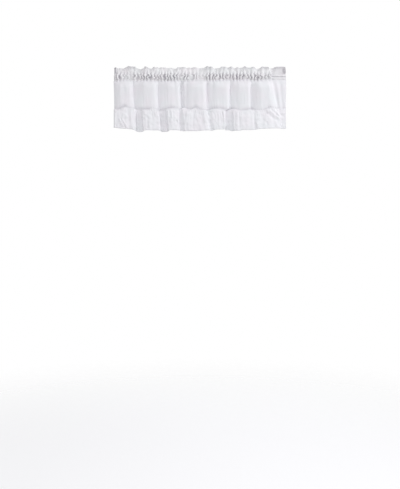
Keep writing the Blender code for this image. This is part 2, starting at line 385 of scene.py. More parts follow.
def fold_run(fold, following, level, flounce):
    """x and y of points across one fold at a level, from its left valley to the next."""
    share = np.linspace(0.0, 1.0, PROFILE_STEPS)
    x = lerp(valley_x(fold, level, flounce), valley_x(following, level, flounce), share)
    changed = ease(CHANGE_HASTE * (level - 1.0))
    outline = lerp(panel_outline(fold, share), hem_outline(fold, following, share), changed)
    back = lerp(fold.back, following.back, share)
    filled = (1.0 - FLOUNCE_VALLEY) * changed * np.maximum(back, 0.0)
    depth = opening(level) * np.interp(level, DEPTH_LEVELS, DEPTH_SHARES)
    return x, depth * (back - filled - (fold.bulge - filled) * outline)


def big_folds(columns, levels, blur, flounce=False):
    """x and y of each column at each level. The cloth is shared out evenly along each fold."""
    places = np.interp(columns, np.arange(GATHER_COUNT + 1), EDGE_SHARES)
    fold_number = np.minimum(places.astype(int), len(FOLDS) - 2)
    x = np.empty((len(levels), len(columns)))
    y = np.empty_like(x)
    for row, level in enumerate(levels):
        for number, (fold, following) in enumerate(zip(FOLDS, FOLDS[1:])):
            run_x, run_y = fold_run(fold, following, level, flounce)
            length = run_of(np.hypot(np.diff(run_x), DEPTH_WEIGHT * np.diff(run_y)))
            mine = fold_number == number
            at = (places[mine] - number) * length[-1]
            x[row, mine] = np.interp(at, length, run_x)
            y[row, mine] = np.interp(at, length, run_y)
    return smooth_rows(x, blur), smooth_rows(y, blur)


def with_small_folds(x, y, z, small, slide=0.0):
    """The points of a grid, with its small folds set square to the cloth in plan, towards the room,
    and slid sideways. The valance's two side edges hang straight."""
    run_x, run_y = np.gradient(x, axis=1), np.gradient(y, axis=1)
    length = np.maximum(np.hypot(run_x, run_y), NO_LENGTH)
    inside = ease((HALF_WIDTH - np.abs(x)) / STRAIGHT_EDGE)
    x = x + inside * (run_y / length * small + slide)
    return np.stack([x, y - run_x / length * small, z], axis=-1)


def joined(points, row, fade):
    """A grid whose top row lies on the row that it is sewn to. Further down it follows less."""
    return points + (row - points[0]) * fade[:, :, None]


# ---- Meshes ----
HEM_CORNER = 8.0  # columns in which the lower hem rises over a side hem


def normals(points):
    """Unit normals of a grid of points, towards the room where the grid runs left to right and
    down."""
    normal = np.cross(np.gradient(points, axis=0), np.gradient(points, axis=1))
    return normal / np.maximum(np.linalg.norm(normal, axis=2, keepdims=True), NO_LENGTH)


def mean_steps(points, axis):
    """The mean length of a grid's steps from row to row (0) or from column to column (1)."""
    return np.linalg.norm(np.diff(points, axis=axis), axis=2).mean(axis=1 - axis)


def hem_steps(steps):
    """How many steps a turned hem takes."""
    return int(np.searchsorted(np.cumsum(steps), HEM_TURN)) + 1


def turned_under(points, below=False):
    """The grid with a narrow hem turned under along its two sides and, if below, along its lower
    edge too, over the side hems. Also the rows and columns of the old grid that the new one has."""
    rows, columns = points.shape[:2]
    run, fall = mean_steps(points, 1), mean_steps(points, 0)
    left, right = hem_steps(run), hem_steps(run[::-1])
    up = hem_steps(fall[::-1]) if below else 0
    turned = np.arange(columns - 2, columns - 2 - right, -1)
    across = np.concatenate([np.arange(left, 0, -1), np.arange(columns), turned])
    down = np.concatenate([np.arange(rows), np.arange(rows - 2, rows - 2 - up, -1)])

    # Layers behind the front one: side hems, the lower hem, and where it covers a side hem
    side = np.ones(len(across))
    side[left:left + columns] = 0.0
    inside = np.minimum(across - left, columns - 1 - right - across)
    covers = 1.0 - ease(inside / HEM_CORNER)
    lower = np.where(side > 0, 2.0, 1.0 + 2.0 * covers)
    layer = np.concatenate([np.tile(side, (rows, 1)), np.tile(lower, (up, 1))])
    behind = normals(points) * HEM_GAP
    grid = points[down][:, across] - behind[down][:, across] * layer[:, :, None]
    return grid, down, across


def laid_flat(points):
    """Where a grid's points lie when the cloth is laid out flat: metres across and down."""
    across, down = run_of(mean_steps(points, 1)), run_of(mean_steps(points, 0))
    return np.stack(np.meshgrid(across, down), axis=-1)


def linked_object(name, mesh, material):
    mesh.shade_smooth()
    mesh.materials.append(material)
    piece = bpy.data.objects.new(name, mesh)
    bpy.context.scene.collection.objects.link(piece)
    return piece


def cloth_piece(name, points, painted_shade, material, node):
    """A grid of points as a piece of cloth with its thickness. It stands for a node of the part.
    The painted shade that it is given is 1 where the cloth's colour is darkened most, deep in the
    creases."""
    rows, columns = points.shape[:2]
    index = np.arange(rows * columns).reshape(rows, columns)
    corners = [index[:-1, :-1], index[1:, :-1], index[1:, 1:], index[:-1, 1:]]
    faces = np.stack(corners, axis=-1).reshape(-1, 4)
    mesh = bpy.data.meshes.new(name)
    mesh.from_pydata(points.reshape(-1, 3).tolist(), [], faces.tolist())
    threads = mesh.attributes.new("threads", "FLOAT_VECTOR", "POINT")
    flat = np.zeros((rows * columns, 3), np.float32)
    flat[:, :2] = laid_flat(points).reshape(-1, 2)
    threads.data.foreach_set("vector", flat.ravel())
    # painted shade, kept on the points for the material to darken the colour with
    shade_layer = mesh.attributes.new("painted_shade", "FLOAT", "POINT")
    shade_layer.data.foreach_set("value", painted_shade.astype(np.float32).ravel())
    piece = linked_object(name, mesh, material)
    thicken = piece.modifiers.new("cloth", "SOLIDIFY")
    thicken.thickness = CLOTH_THICKNESS
    thicken.offset = 0.0
    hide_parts(node)
    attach(piece, "root")


STITCH_PITCH = 0.0034
STITCH_LENGTH = 0.0026
STITCH_RADIUS = 0.00028
STITCH_LIFT = 0.4  # of its radius, from the cloth's face to its middle
STITCH_RING = 4  # corners; a face has as many
STITCH_ALONG = np.array([0.0, 0.25, 0.75, 1.0])  # its rings, as shares of its length
STITCH_SIZES = np.array([0.15, 1.0, 1.0, 0.15])  # and of its radius


def stitch(path, run, towards, start):
    """Rings of points of one small rounded stitch that lies on the cloth along a path."""
    places = start + STITCH_ALONG * STITCH_LENGTH
    centres, ups = at_places(places, run, path), at_places(places, run, towards)
    ups = ups / np.linalg.norm(ups, axis=1, keepdims=True)
    sides = np.cross(centres[-1] - centres[0], ups)
    sides = sides / np.linalg.norm(sides, axis=1, keepdims=True)
    radii = STITCH_RADIUS * STITCH_SIZES[:, None]
    middles = centres + ups * (0.5 * CLOTH_THICKNESS + STITCH_LIFT * radii)
    turns = math.tau * (np.arange(STITCH_RING)[:, None] + 0.5) / STITCH_RING
    rays = np.cos(turns) * ups[:, None] + np.sin(turns) * sides[:, None]
    return (middles[:, None] + radii[:, None] * rays).reshape(-1, 3)


def stitch_faces():
    """The faces of one stitch: its sides and its two ends."""
    last = (len(STITCH_SIZES) - 1) * STITCH_RING
    faces = []
    for ring in range(0, last, STITCH_RING):
        for corner in range(STITCH_RING):
            a, b = ring + corner, ring + (corner + 1) % STITCH_RING
            faces.append((a, b, b + STITCH_RING, a + STITCH_RING))
    return np.array(faces + [range(STITCH_RING)[::-1], range(last, last + STITCH_RING)])


def stitches(name, grid, rows, material):
    """Machine stitches along some rows of a grid of points, as one mesh."""
    made, towards = [], normals(grid)
    for row in rows:
        run = run_of(np.linalg.norm(np.diff(grid[row], axis=0), axis=1))
        for start in np.arange(STITCH_PITCH / 2, run[-1] - STITCH_LENGTH, STITCH_PITCH):
            made.append(stitch(grid[row], run, towards[row], start))
    points = np.concatenate(made)
    first = np.arange(0, len(points), len(made[0]))
    faces = (first[:, None, None] + stitch_faces()).reshape(-1, STITCH_RING)
    mesh = bpy.data.meshes.new(name)
    mesh.from_pydata(points.tolist(), [], faces.tolist())
    piece = linked_object(name, mesh, material)
    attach(piece, "root")


# ---- Heading ----
PUCKER = 0.0135  # the gathers' depth in front of the rod
BACK_PUCKER = 0.0085  # and behind it
SEWN_WAVE = 0.0072  # and where both layers are sewn flat
SEWN_BACK = 0.45  # share of that wave that lies behind the pocket's middle
SEWN_FADE = 1.1  # how soon it fades up the frill
PUCKER_LIFT = 0.0014  # how far creases ride up at the upper stitches
LEAST_RISE = 0.15  # share of the lower stitches' rise that the upper ones have
UPPER_BAND = 0.006  # height in which the stitches shape the cloth
LOWER_BAND = 0.004
TICKS = 0.0013  # the small tucks that stitches make in a gather
LOWER_TICKS = 0.6  # and their share at the lower stitches
TICKS_TO_A_GATHER = 2.3
FLAT_START = 0.352  # x where the ungathered right end begins
FLAT_FADE = 0.020
CROWN_POINTS = 873  # one to a millimetre
CROWN_BLUR = 2.5
CROWN_HEIGHT = 0.42  # share of the edge's rise that shows as height
CROWN_FORWARD = 1.1  # and how far it stands out for its rise
EDGE_DROP = 0.0034  # by which the folded edge stays under FRILL_TOP
EDGE_SLIDE = 0.3  # share of the gathers' slide that reaches the edge
FRILL_HALF_DEPTH = 0.0021  # from the frill's middle to either layer, at its folded edge
DEPTH_HASTE = 2.0  # how soon above the stitches it is as deep
FRILL_NOD = 0.0080  # how far the edge nods towards the room
LEVEL_NOD = 0.9  # share of that where the edge neither rises nor dips
NOD_BY_RISE = 130.0  # and how much more for each metre of rise
NOD_RANGE = (0.2, 1.6)
LOOSE_WAVE = 0.4  # share of the edge's waves where nothing is gathered
EDGE_ANGLES = (45.0, 90.0, 135.0)

# How closely these keep to the folded edge, as powers of the way up the frill
WAVE_POWER = 1.2
HEIGHT_POWER = 3
SHADE_POWER = 4
NOD_POWER = 5

# How far the frill's ends curl, in what width, and how sharply
RIGHT_CURL = (0.013, 0.014, 1.3)
LEFT_CURL = (0.014, 0.018, 1.5)
CURL_HASTE = 3.0  # how soon above the stitches the right end curls

LEAN = Noise(0.0045, 1.5, 41)
LONG_WAVE = Noise(0.0084, 1.0, 42)
SHORT_WAVE = Noise(0.00525, 0.5, 43)
FLOP = Noise(0.0050, 1.8, 44)
RAGGED = Noise(0.0010, 0.7, 45)
WARP = Noise(0.55, 1.3, 51, 0.012)
STRAY = Noise(0.9, 1.2, 52, 0.03)
TICK_DRIFT = Noise(4.0, 1.3, 53, 0.03)
FRONT_CRUMPLE = Noise(0.0013, 0.45, 55, 0.012)
BLOT = Noise(1.0, 0.35, 57)

# Painted shade: how much the cloth's colour is darkened, as shares of the painted shade deep in a
# crease
PIT_WIDTH = 1.2  # one over how far out a gather's shaded crease reaches
PIT_POWER = 1.5
LOWER_PIT_SHADE = 0.6
UPPER_PIT_SHADE = 0.8
UPPER_PIT_WIDTH = 1.4
NOD_SHADE = 0.28
DIP_SHADE = 0.45
DIP_START = 0.4
DIP_BY_DEPTH = 120.0
DEEPEST_DIP = 0.6
FLAT_SHADE = 0.10
DARKEST = 1.2
END_FADE = 0.006
LEFT_END_SHADE = (0.014, 0.8)  # (width, shade)
RIGHT_END_SHADE = (0.018, 0.5)
END_HASTE = 4.0  # how soon above the stitches the ends are dark
RIGHT_HASTE = 3.0  # and how soon below the folded edge the right one is

# Painted shade along the lines pressed into the flat right end: (height, width, how dark, how
# blotchy)
PRESSED_LINE_SHADES = ((.017, .0022, .32, .3), (.0015, .0024, .7, .2), (-.013, .003, .36, .9))


def pocket_profile():
    """The pocket's rows, evenly spread along its front from its lower to its upper stitches."""
    table = np.array(POCKET_ROWS)
    run = run_of(np.hypot(*np.diff(table[:, :2], axis=0).T))
    return PocketRow(*at_places(np.linspace(0.0, run[-1], POCKET_STEPS), run, table).T)


# As in the pocket's table, with how far up the frill each row is, 0 to 1, and how near to the
# upper and the lower stitches
Rows = namedtuple("Rows", "height front back pucker sewn frill upper lower")

# Each column's number, its x on the rod, how tightly it is gathered, how far it lies in the flat
# right end, and how strongly its edge nods
Across = namedtuple("Across", "column x calm flat nod")


def heading_rows():
    pocket = pocket_profile()
    frill = np.linspace(0.0, 1.0, FRILL_STEPS + 1)[1:]
    none, full = np.zeros(FRILL_STEPS), np.ones(FRILL_STEPS)
    height = lerp(pocket.height[-1], FRILL_TOP, frill)
    half_depth = lerp(pocket.back[-1], FRILL_HALF_DEPTH, ease(DEPTH_HASTE * frill))
    above = PocketRow(height, -half_depth, half_depth, none, full)
    rows = [np.concatenate(parts)[:, None] for parts in zip(pocket, above)]
    up = np.concatenate([np.zeros(POCKET_STEPS), frill])[:, None]
    upper = fading(rows[0] - pocket.height[-1], UPPER_BAND)
    lower = fading(rows[0] - pocket.height[LOWER_STITCHES], LOWER_BAND)
    return Rows(*rows, up, upper, lower)


def heading_across():
    column = column_numbers(HEADING_COLUMNS)[None, :]
    x = np.interp(column, np.arange(GATHER_COUNT + 1), EDGES)
    flat = ease((x - FLAT_START) / FLAT_FADE)
    nod = np.clip(LEVEL_NOD + NOD_BY_RISE * crown_rise(x), *NOD_RANGE)
    return Across(column, x, calm_strength(column), flat, nod)


def crown_rise(x):
    """How far the frill's folded edge rises or dips at x."""
    fine = np.linspace(-HALF_WIDTH, HALF_WIDTH, CROWN_POINTS)
    return np.interp(x, fine, smooth_rows(eased_along(CROWNS, fine)[None, :], CROWN_BLUR)[0])


def curled(curl, from_edge):
    depth, width, power = curl
    return depth * np.clip(1.0 - from_edge / width, 0.0, 1.0) ** power


def frill_out(across, rows):
    """How far the frill stands out: its folded edge waves, flops and nods, and its ends curl, the
    right one towards the room and the left one towards the wall."""
    waves = uneven(LONG_WAVE, across.column) + uneven(SHORT_WAVE, across.column)
    waves = waves * lerp(LOOSE_WAVE, 1.0, np.minimum(1.0, across.calm)) * (1.0 - across.flat)
    edge = waves + uneven(FLOP, across.column) + CROWN_FORWARD * crown_rise(across.x)
    nod = FRILL_NOD * rows.frill ** NOD_POWER * across.nod
    right = curled(RIGHT_CURL, HALF_WIDTH - across.x) * ease(CURL_HASTE * rows.frill)
    left = curled(LEFT_CURL, HALF_WIDTH + across.x)
    return rows.frill ** WAVE_POWER * edge + nod + right - left


def sewn_out(across, rows, sewn):
    """How far the cloth stands out where it is sewn: in waves, with small tucks at the stitches."""
    wave = SEWN_WAVE * rows.sewn * (sewn.out - SEWN_BACK * across.calm)
    drift = uneven(TICK_DRIFT, across.column, rows.height)
    ticks = np.sin(math.tau * TICKS_TO_A_GATHER * across.column + drift)
    near = rows.upper + LOWER_TICKS * rows.lower
    return wave * (1.0 - rows.frill) ** SEWN_FADE + TICKS * across.calm * near * ticks


def heading_x(across, rows, loose, sewn):
    slide = lerp(loose.slide, sewn.slide, rows.sewn) * lerp(1.0, EDGE_SLIDE, rows.frill)
    return across.x + slide + rows.frill * uneven(LEAN, across.column)


def heading_z(across, rows, sewn, x):
    """Heights: the frill's edge rises and dips, and the cloth rides up at the stitches."""
    ragged = uneven(RAGGED, across.column) * (1.0 - across.flat)
    edge = CROWN_HEIGHT * crown_rise(x) - EDGE_DROP + ragged
    lift = PUCKER_LIFT * rows.upper * (across.calm - sewn.out) * (rows.frill == 0)
    below = (rows.height[POCKET_STEPS - 1] - rows.height) / POCKET_HALF_HEIGHT
    rise = eased_along(STITCH_RISES, across.x) * np.clip(below, LEAST_RISE, 1.0)
    return rows.height + rows.frill ** HEIGHT_POWER * edge + lift + rise * (1.0 - rows.frill)


def pit_shade(out, calm):
    """Painted shade: 1 deep in the creases between tight gathers."""
    return calm ** PIT_POWER * np.clip(1.0 - PIT_WIDTH * out, 0.0, 1.0)


# Painted shade in a curled end of the frill, near its side edge.
def end_shade(end, from_edge):
    width, shade = end
    return shade * np.clip((width - from_edge) / END_FADE, 0.0, 1.0)


def heading_shade(across, rows, loose, sewn, x):
    """Painted shade: how much darker the colour is made in the gathers' creases, below the edge's
    nods and in its dips, in its curled ends and along the lines pressed into the flat end."""
    shade = pit_shade(loose.out, across.calm) * (rows.pucker + LOWER_PIT_SHADE * rows.lower)
    above = across.calm * np.clip(1.0 - UPPER_PIT_WIDTH * sewn.out, 0.0, 1.0) * (rows.height > 0)
    shade = shade + UPPER_PIT_SHADE * above * rows.sewn * (1.0 - rows.frill) ** SHADE_POWER
    shade = shade + NOD_SHADE * rows.frill ** SHADE_POWER * across.nod
    dips = np.clip(-DIP_BY_DEPTH * crown_rise(x) - DIP_START, 0.0, DEEPEST_DIP)
    shade = shade + DIP_SHADE * rows.frill * dips
    right = end_shade(RIGHT_END_SHADE, HALF_WIDTH - across.x) * ease(RIGHT_HASTE * (1.0 - rows.frill))
    left = end_shade(LEFT_END_SHADE, HALF_WIDTH + across.x)
    shade = shade + (left + right) * ease(END_HASTE * rows.frill)
    blots = uneven(BLOT, across.column)
    for height, width, dark, blotchy in PRESSED_LINE_SHADES:
        line_shade = dark * fading(rows.height - height, width)
        shade = shade + across.flat * line_shade * (1.0 + blotchy * blots)
    return np.clip(shade + FLAT_SHADE * across.flat, 0.0, DARKEST)


def over_the_edge(front, back):
    """Rows of points over the folded edge, from its front row to its back row."""
    middle = 0.5 * (front + back)
    turns = np.radians(EDGE_ANGLES)[:, None, None]
    up = np.array([0.0, 0.0, FRILL_HALF_DEPTH])
    return middle + np.cos(turns) * (front - middle) + np.sin(turns) * up


def build_heading(material, thread):
    """The sleeve: from its lower stitches up the back, over the frill and down the front. Returns
    its front layer's lowest row, which the panel hangs from."""
    across, rows = heading_across(), heading_rows()
    column = across.column
    loose = lobes(column + uneven(WARP, column, rows.height) * (1.0 - rows.sewn))
    sewn = lobes(column + rows.frill * uneven(STRAY, column, rows.height))
    x = heading_x(across, rows, loose, sewn)
    z = heading_z(across, rows, sewn, x)
    out = sewn_out(across, rows, sewn) + frill_out(across, rows)
    crumples = rows.frill * uneven(FRONT_CRUMPLE, column, rows.height)
    front_out = out + crumples + crease_lift(HEADING_CREASES, x, z)
    front_y = rows.front - PUCKER * rows.pucker * loose.out - front_out
    back_y = rows.back + BACK_PUCKER * rows.pucker * loose.out - out
    front = np.stack([x, front_y, z], axis=-1)
    back = np.stack([x, back_y, z], axis=-1)
    over = over_the_edge(front[-1], back[-1])
    points = np.concatenate([back, over[::-1], front[::-1]])

    shade = heading_shade(across, rows, loose, sewn, x)
    shades = np.concatenate([shade, np.repeat(shade[-1:], len(over), axis=0), shade[::-1]])
    cloth_piece("heading_cloth", points, shades, material, "heading")

    lower, upper, last = LOWER_STITCHES, POCKET_STEPS - 1, len(points) - 1
    sewn_rows = (last - lower, last - upper, lower, upper)
    stitches("heading_stitches", points, sewn_rows, thread)
    return points[-1]


# ---- Seam ----
SEAM_BLUR = 6.5  # columns in which the seam's height evens out
TUCK_BLUR = 5.5
SEAM_TUCK = 0.0043  # how far the seam is drawn in
SEAM_TUCK_HEIGHT = 0.0088
# painted shade in the seam's tuck, as a share of a deep crease's
TUCK_SHADE = 0.26
DEEPEST_TUCK = 1.3  # beyond which it gets no darker
SEAM_GATHER = 0.0022  # depth of the flounce's own gathers at the seam
SEAM_SLIDE = 0.0012
SEAM_BACK = 0.4  # share of that depth that lies behind the seam
SEAM_GATHERS = 2.15  # to one of the heading's
SEAM_STRENGTH = 0.75
SEAM_ROUNDNESS = 0.8
SEAM_DRIFT = Noise(0.35, 1.1, 71)
SEAM_CHANCE = Noise(0.45, 1.7, 72)


def seam_height(x):
    xs, heights, _ = np.array(SEAM).T
    return smooth_rows(np.interp(x, xs, heights)[None, :], SEAM_BLUR)


def drawn_in(seam_x, seam_z, z):
    """How far the seam draws in the cloth at each height z round it."""
    xs, _, tucks = np.array(SEAM).T
    depth = smooth_rows(SEAM_TUCK * np.interp(seam_x, xs, tucks)[None, :], TUCK_BLUR)
    return depth * fading(z - seam_z, SEAM_TUCK_HEIGHT)


# Painted shade in the seam's tuck, darker where the seam draws the cloth in further.
def tuck_shade(drawn):
    return TUCK_SHADE * np.minimum(DEEPEST_TUCK, drawn / SEAM_TUCK)


def flounce_lobes(column):
    """The flounce's own small gathers at its seam. They stand out as shares of their depth."""
    turn = math.tau * SEAM_GATHERS * (column + uneven(SEAM_DRIFT, column))
    strength = SEAM_STRENGTH + uneven(SEAM_CHANCE, column)
    out = strength * (0.5 - 0.5 * np.cos(turn)) ** SEAM_ROUNDNESS
    return Lobes(out - SEAM_BACK, -SEAM_SLIDE * strength * np.sin(turn))


# ---- Panel ----
PANEL_LEVELS = stretches((0.0, 0.16, 10), (0.16, 0.93, 20), (0.93, 1.0, 7))
PANEL_BLUR = 3.0  # columns in which the big folds' corners are rounded
GATHER_REACH = 0.085  # levels that the heading's gathers reach down
REACH_CHANCE = Noise(0.05, 1.2, 21)
REACH_POWER = 1.4
RIDGE = 0.0018  # height of the ridges that they run out in
RIDGE_SWING = 0.0012  # and how much it changes along the rod
RIDGE_SWINGS = 0.4  # to a gather
RIDGE_LEVEL = 0.12
RIDGE_DRIFT = Noise(3.0, 3.3, 23)
PANEL_WRINKLES = (
    Noise(0.0012, 2.6, 24, 0.60), Noise(0.0010, 1.0, 25, 0.45), Noise(0.0005, 0.42, 26, 0.30),
)
ABOVE_SEAM = 0.35  # share of the flounce's gathers that shows above the seam
ABOVE_REACH = 0.05
ABOVE_POWER = 1.3
FORWARD_LEVEL = 0.9  # by which the panel has come back below the rod
# painted shade in the gathers' creases just below the pocket, and how far down it reaches
PANEL_PIT_SHADE = 0.6
PANEL_PIT_REACH = 0.05
# painted shadow of the pocket on the panel's top, and how far down it reaches
POCKET_SHADE = 0.10
POCKET_SHADE_REACH = 0.14


def panel_wrinkles(column, level):
    """The panel's small folds: ridges below the gathers, and wrinkles."""
    swing = np.sin(math.tau * RIDGE_SWINGS * column + uneven(RIDGE_DRIFT, column))
    ridges = (RIDGE + RIDGE_SWING * swing) * calm_strength(column) * swell(level, RIDGE_LEVEL)
    return ridges + sum(uneven(noise, column, level) for noise in PANEL_WRINKLES)


def build_panel(material, heading_row):
    """The panel. Returns its lowest row, which the flounce is sewn to."""
    columns = column_numbers(PANEL_COLUMNS)
    column, level = columns[None, :], PANEL_LEVELS[:, None]
    x, y = big_folds(columns, PANEL_LEVELS, PANEL_BLUR)
    z = lerp(-POCKET_HALF_HEIGHT, seam_height(x[-1]), level)
    drawn = drawn_in(x[-1], z[-1], z)
    near_seam = fading(1.0 - level, ABOVE_REACH, ABOVE_POWER)
    seam_out = ABOVE_SEAM * SEAM_GATHER * flounce_lobes(column).out * near_seam
    small = panel_wrinkles(column, level) - drawn + crease_lift(PANEL_CREASES, x, z) + seam_out
    points = with_small_folds(x, y, z, small)

    # It hangs from the heading's lowest row, and its folds stay as far forward for a while
    top = at_places(columns, column_numbers(HEADING_COLUMNS), heading_row)
    points[:, :, 1] += top[:, 1].mean() * (1.0 - ease(level / FORWARD_LEVEL))
    reach = GATHER_REACH + uneven(REACH_CHANCE, column)
    points = joined(points, top, fading(level, reach, REACH_POWER))

    # Painted shade: in the seam's tuck, in the creases just below the pocket, and the pocket's
    # shadow below it
    gathered = pit_shade(lobes(column).out, calm_strength(column)) * fading(level, PANEL_PIT_REACH)
    shade = tuck_shade(drawn) + PANEL_PIT_SHADE * gathered
    shade = shade + POCKET_SHADE * fading(level, POCKET_SHADE_REACH)
    hemmed, down, across = turned_under(points)
    shades = shade[down][:, across]
    cloth_piece("panel_cloth", hemmed, shades, material, "panel")
    return points[-1]


# ---- Flounce ----
FLOUNCE_LEVELS = stretches((1.0, 1.12, 9), (1.12, 1.9, 22), (1.9, 2.0, 5))
FLOUNCE_BLUR = 2.4
HEM_BLUR = 2.0
SEAM_PUFF = 0.0027  # how far the flounce puffs out just below its seam
PUFF_LEVEL = 0.10  # levels below the seam, as the two reaches
FLOUNCE_REACH = 0.24
FLOUNCE_POWER = 1.2
JOIN_REACH = 0.05
JOIN_POWER = 1.4
WANDER = Noise(0.3, 1.0, 32, 0.3)

# Waves across the flounce: how deep, how many to a gather, and how soon they come up
Wave = namedtuple("Wave", "depth count haste")
MIDDLE_WAVE = Wave(0.0007, 0.95, 5.0)
WIDE_WAVE = Wave(0.0009, 0.42, 1.4)
MIDDLE_SHARE = 0.6  # of the middle waves' depth, which is more and less by turns
MIDDLE_CHANCE = Noise(0.6, 1.6, 35, 0.5)
MIDDLE_AT_HEM = 0.7
MIDDLE_DRIFT = Noise(2.1, 2.4, 31)
MIDDLE_SWAY = Noise(1.2, 2.0, 33, 0.4)
WIDE_DRIFT = Noise(2.6, 4.0, 34)
CRUMPLE = Noise(0.0018, 0.9, 36, 0.12)
FINE_CRUMPLE = Noise(0.0008, 0.45, 37, 0.07)
CRUMPLE_HASTE = 8.0


def waves(wave, column, below, drift):
    return wave.depth * np.sin(math.tau * wave.count * column + drift) * ease(wave.haste * below)


def flounce_wrinkles(column, level):
    """The flounce's small folds, apart from its gathers: two sets of waves, and crumples."""
    below = level - 1.0
    sway = uneven(MIDDLE_DRIFT, column) + uneven(MIDDLE_SWAY, column, level)
    share = MIDDLE_SHARE + uneven(MIDDLE_CHANCE, column, level)
    middle = waves(MIDDLE_WAVE, column, below, sway) * share
    wide = waves(WIDE_WAVE, column, below, uneven(WIDE_DRIFT, column))
    crumples = uneven(CRUMPLE, column, level) + uneven(FINE_CRUMPLE, column, level)
    crumples = crumples * ease(CRUMPLE_HASTE * below)
    return middle * lerp(1.0, MIDDLE_AT_HEM, ease(below)) + wide + crumples


def build_flounce(material, thread, panel_row):
    columns = column_numbers(PANEL_COLUMNS)
    column, level = columns[None, :], FLOUNCE_LEVELS[:, None]
    below = level - 1.0
    x, y = big_folds(columns, FLOUNCE_LEVELS, FLOUNCE_BLUR, flounce=True)
    hem_z = smooth_rows(np.interp(x[-1:], *HEM.T), HEM_BLUR)
    z = lerp(panel_row[:, 2], hem_z, below)
    drawn = drawn_in(x[0], z[0], z)
    gathers = flounce_lobes(column + below * uneven(WANDER, column, below))
    near_seam = fading(below, FLOUNCE_REACH, FLOUNCE_POWER)
    small = SEAM_GATHER * gathers.out * near_seam + flounce_wrinkles(column, level)
    small = small + SEAM_PUFF * swell(below, PUFF_LEVEL) - drawn
    small = small + crease_lift(FLOUNCE_CREASES, x, z)
    points = with_small_folds(x, y, z, small, gathers.slide * near_seam)
    points = joined(points, panel_row, fading(below, JOIN_REACH, JOIN_POWER))
    hemmed, down, across = turned_under(points, below=True)
    # painted shade in the seam's tuck
    shades = tuck_shade(drawn)[down][:, across]
    cloth_piece("flounce_cloth", hemmed, shades, material, "flounce")
    stitches("flounce_stitches", points, down[-1:], thread)


# ---- Materials ----
HEADING_COLOUR = (0.815, 0.805, 0.81)
LOWER_COLOUR = (0.81, 0.80, 0.82)
WEAVE_PITCH = 0.0008
SLUB_SCALE = 260.0
BLOTCH_SCALE = 14.0
WARM_PATCH = (1.018, 0.968, 0.992)  # of the cloth's colour
COOL_PATCH = (0.955, 1.018, 1.000)
# painted shade: the cloth's colour deep in a crease, as shares of its own
CREASE_SHADE_TINT = (0.58, 0.565, 0.60)
STRAND_SCALE = 1000.0  # its bands are 0.6 mm apart along the rod
# painted shade: the tone in the grooves between strands, and on the strands
STRAND_SHADE_TONES = ((0.80, 0.80, 0.815), (0.87, 0.87, 0.88))
OPAQUE = 1.0


def fill(tree, node, values):
    """Set a node's inputs, or link them where a value is another node's output."""
    for name, value in values.items():
        if isinstance(value, bpy.types.NodeSocket):
            tree.links.new(value, node.inputs[name])
        else:
            node.inputs[name].default_value = value


def add_node(tree, kind, values, **settings):
    node = tree.nodes.new("ShaderNode" + kind)
    for name, value in settings.items():
        setattr(node, name, value)
    fill(tree, node, values)
    return node


def calculate(tree, operation, *values):
    """The result of a sum on two outputs or numbers, or a function of one."""
    return add_node(tree, "Math", dict(enumerate(values)), operation=operation).outputs[0]


def mix_colours(tree, share, first, second):
    values = {"Factor": share, "A": first, "B": second}
    return add_node(tree, "Mix", values, data_type="RGBA").outputs["Result"]


def tinted(colour, tint):
    return (*[c * t for c, t in zip(colour, tint)], OPAQUE)


def new_material(name):
    material = bpy.data.materials.new(name)
    material.use_nodes = True
    return material, material.node_tree, material.node_tree.nodes["Principled BSDF"]


def cloth_material(name, colour):
    """Plain-woven white cloth: warp and weft, uneven threads, faint patches, a soft sheen and
    painted shade in its creases.
    """
    material, tree, shader = new_material(name)
    threads = add_node(tree, "Attribute", {}, attribute_name="threads").outputs["Vector"]
    flat = add_node(tree, "SeparateXYZ", {0: threads})
    pitch = math.tau / WEAVE_PITCH
    turns = [calculate(tree, "MULTIPLY", flat.outputs[axis], pitch) for axis in "XY"]
    warp, weft = [calculate(tree, "SINE", turn) for turn in turns]
    weave = calculate(tree, "MULTIPLY", warp, weft)
    slub = add_node(tree, "TexNoise", {"Scale": SLUB_SCALE, "Detail": 3.0, "Vector": threads})
    height = calculate(tree, "ADD", weave, slub.outputs["Fac"])
    bump = add_node(tree, "Bump", {"Strength": 0.25, "Distance": 0.00025, "Height": height})

    blotch = add_node(tree, "TexNoise", {"Scale": BLOTCH_SCALE, "Detail": 4.0, "Vector": threads})
    warm, cool = tinted(colour, WARM_PATCH), tinted(colour, COOL_PATCH)
    patches = mix_colours(tree, blotch.outputs["Fac"], warm, cool)
    # painted shade: the colour is mixed towards a dark tint in the creases
    painted_shade = add_node(tree, "Attribute", {}, attribute_name="painted_shade").outputs["Fac"]
    shaded = mix_colours(tree, painted_shade, patches, tinted(colour, CREASE_SHADE_TINT))
    fill(tree, shader, {
        "Roughness": 0.85,
        "Specular IOR Level": 0.25,
        "Sheen Weight": 0.2,
        "Sheen Roughness": 0.5,
        "Base Color": shaded,
        "Normal": bump.outputs["Normal"],
    })
    return material


def thread_material():
    """White sewing thread, twisted from strands, with painted shade in the grooves between them."""
    material, tree, shader = new_material("sewing_thread")
    place = add_node(tree, "TexCoord", {}).outputs["Object"]
    twist = {"Scale": STRAND_SCALE, "Distortion": 1.5, "Vector": place}
    strands = add_node(tree, "TexWave", twist, bands_direction="DIAGONAL").outputs["Fac"]
    dark, light = [(*tone, OPAQUE) for tone in STRAND_SHADE_TONES]
    bump = add_node(tree, "Bump", {"Strength": 0.4, "Distance": 0.0001, "Height": strands})
    fill(tree, shader, {
        "Roughness": 0.6,
        "Sheen Weight": 0.2,
        "Base Color": mix_colours(tree, strands, dark, light),
        "Normal": bump.outputs["Normal"],
    })
    return material


